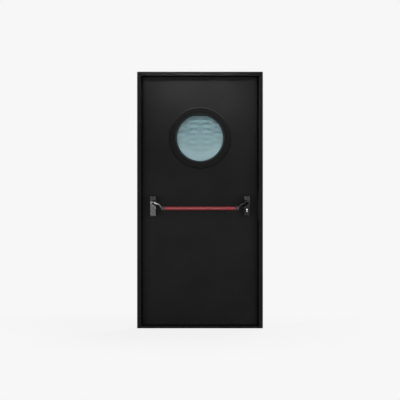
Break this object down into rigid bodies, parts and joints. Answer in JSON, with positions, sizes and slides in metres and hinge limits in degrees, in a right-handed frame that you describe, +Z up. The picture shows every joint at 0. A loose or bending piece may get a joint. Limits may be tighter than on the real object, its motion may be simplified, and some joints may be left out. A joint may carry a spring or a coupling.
{
  "type": "fire exit door",
  "caption": "Single steel fire exit door in its frame, with a round glazed porthole and a push bar across the leaf.",
  "frame": {"origin": "on the floor, in the middle of the frame's width and depth", "axes": "+X from the hinges to the lock, +Y from the push side to the pull side, +Z up"},
  "size_m": [1, 0.1845, 2.04],
  "materials": {
    "frame_steel": "fine textured black powder coat on steel",
    "leaf_steel": "satin black powder coat on steel",
    "ring_steel": "smooth satin black powder coat",
    "threshold_steel": "black powder coat, worn by feet",
    "mineral_wool": "yellow-brown mineral wool board",
    "door_rubber": "matte black rubber",
    "strip_plastic": "dark plastic strip",
    "fire_glass": "thick teal-grey fire glass",
    "bright_steel": "satin zinc-plated steel",
    "nickel_brass": "satin nickel-plated brass",
    "case_dark": "dark grey painted metal",
    "cover_dark": "dark grey moulded plastic",
    "cover_light": "mid grey moulded plastic",
    "arm_light": "light grey lacquered cast metal",
    "arm_dark": "dark grey lacquered cast metal",
    "dark_steel": "black-coated steel plate",
    "bar_red": "glossy red lacquer on steel tube",
    "hinge_steel": "black painted steel"
  },
  "bodies": {
    "frame": {"jamb_hinge_side": "frame_steel", "jamb_lock_side": "frame_steel", "head": "frame_steel", "threshold": "threshold_steel", "seal_hinge_side": "door_rubber", "seal_lock_side": "door_rubber", "seal_head": "door_rubber", "seal_threshold": "door_rubber", "strike_plate": "dark_steel", "hinge_frame_half_lower": "hinge_steel", "hinge_pin_lower": "bright_steel", "hinge_frame_half_middle": "hinge_steel", "hinge_pin_middle": "bright_steel", "hinge_frame_half_upper": "hinge_steel", "hinge_pin_upper": "bright_steel"},
    "leaf": {"leaf_push_side": "leaf_steel", "leaf_pull_side": "leaf_steel", "leaf_core": "mineral_wool", "porthole_ring_push_side": "ring_steel", "porthole_ring_pull_side": "ring_steel", "porthole_seal_push_side": "door_rubber", "porthole_seal_pull_side": "door_rubber", "porthole_glass": "fire_glass", "glazing_block": "door_rubber", "intumescent_strips": "strip_plastic", "lock_faceplate": "bright_steel", "latch_bolt": "bright_steel", "dead_bolt": "bright_steel", "lock_cylinder": "nickel_brass", "cylinder_rosette": "case_dark", "end_case_lock_side": "case_dark", "end_case_hinge_side": "case_dark", "lower_cover_lock_side": "cover_dark", "lower_cover_hinge_side": "cover_light", "pivot_pin_lock_side": "bright_steel", "pivot_pin_hinge_side": "bright_steel", "hinge_leaf_half_lower": "hinge_steel", "hinge_leaf_half_middle": "hinge_steel", "hinge_leaf_half_upper": "hinge_steel"},
    "push_bar_set": {"push_bar": "bar_red", "bar_arm_lock_side": "arm_dark", "bar_arm_hinge_side": "arm_light"}
  },
  "joints": [
    {"name": "leaf_swing", "type": "hinge", "parent": "frame", "child": "leaf", "pos_m": [-0.47725, 0.06, 1.02], "axis": [0, 0, 1], "range_deg": [0, 180]},
    {"name": "push_bar_press", "type": "hinge", "parent": "leaf", "child": "push_bar_set", "pos_m": [0, -0.036, 1.006], "axis": [1, 0, 0], "range_deg": [0, 20], "stiffness_Nm_per_rad": 4, "springref_deg": -28.65}
  ]
}
